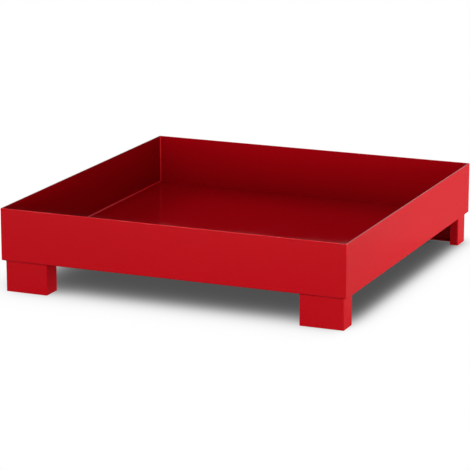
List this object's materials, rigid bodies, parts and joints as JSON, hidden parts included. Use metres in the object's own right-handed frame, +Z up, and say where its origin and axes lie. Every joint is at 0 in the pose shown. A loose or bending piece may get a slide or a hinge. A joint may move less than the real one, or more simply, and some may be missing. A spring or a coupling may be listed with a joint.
{
  "type": "sump tray",
  "caption": "Low open-topped collecting tray of folded and welded sheet steel, raised on lipped channel feet so that forks pass under it.",
  "frame": {"origin": "centre of the footprint, on the ground under the feet", "axes": "+X to the right along the front wall, +Y from the front wall to the rear wall, +Z up"},
  "size_m": [1.21, 1.25, 0.283],
  "materials": {
    "red_powder_coat": "glossy smooth powder coat on sheet steel, with fine orange peel",
    "coated_weld": "the same glossy powder coat over a rippled weld bead"
  },
  "bodies": {
    "root": {"floor_pan": "red_powder_coat", "left_wall": "red_powder_coat", "right_wall": "red_powder_coat", "floor_seam_weld_left": "coated_weld", "floor_seam_weld_right": "coated_weld", "corner_weld_front_left": "coated_weld", "corner_weld_front_right": "coated_weld", "corner_weld_rear_left": "coated_weld", "corner_weld_rear_right": "coated_weld", "foot_channel_front_left": "red_powder_coat", "foot_channel_front_right": "red_powder_coat", "foot_channel_rear_left": "red_powder_coat", "foot_channel_rear_right": "red_powder_coat", "sole_bar_front_left": "red_powder_coat", "sole_bar_front_right": "red_powder_coat", "sole_bar_rear_left": "red_powder_coat", "sole_bar_rear_right": "red_powder_coat", "sole_weld_front_left": "coated_weld", "sole_weld_front_right": "coated_weld", "sole_weld_rear_left": "coated_weld", "sole_weld_rear_right": "coated_weld", "foot_weld_front_left": "coated_weld", "foot_weld_front_right": "coated_weld", "foot_weld_rear_left": "coated_weld", "foot_weld_rear_right": "coated_weld"}
  },
  "joints": []
}
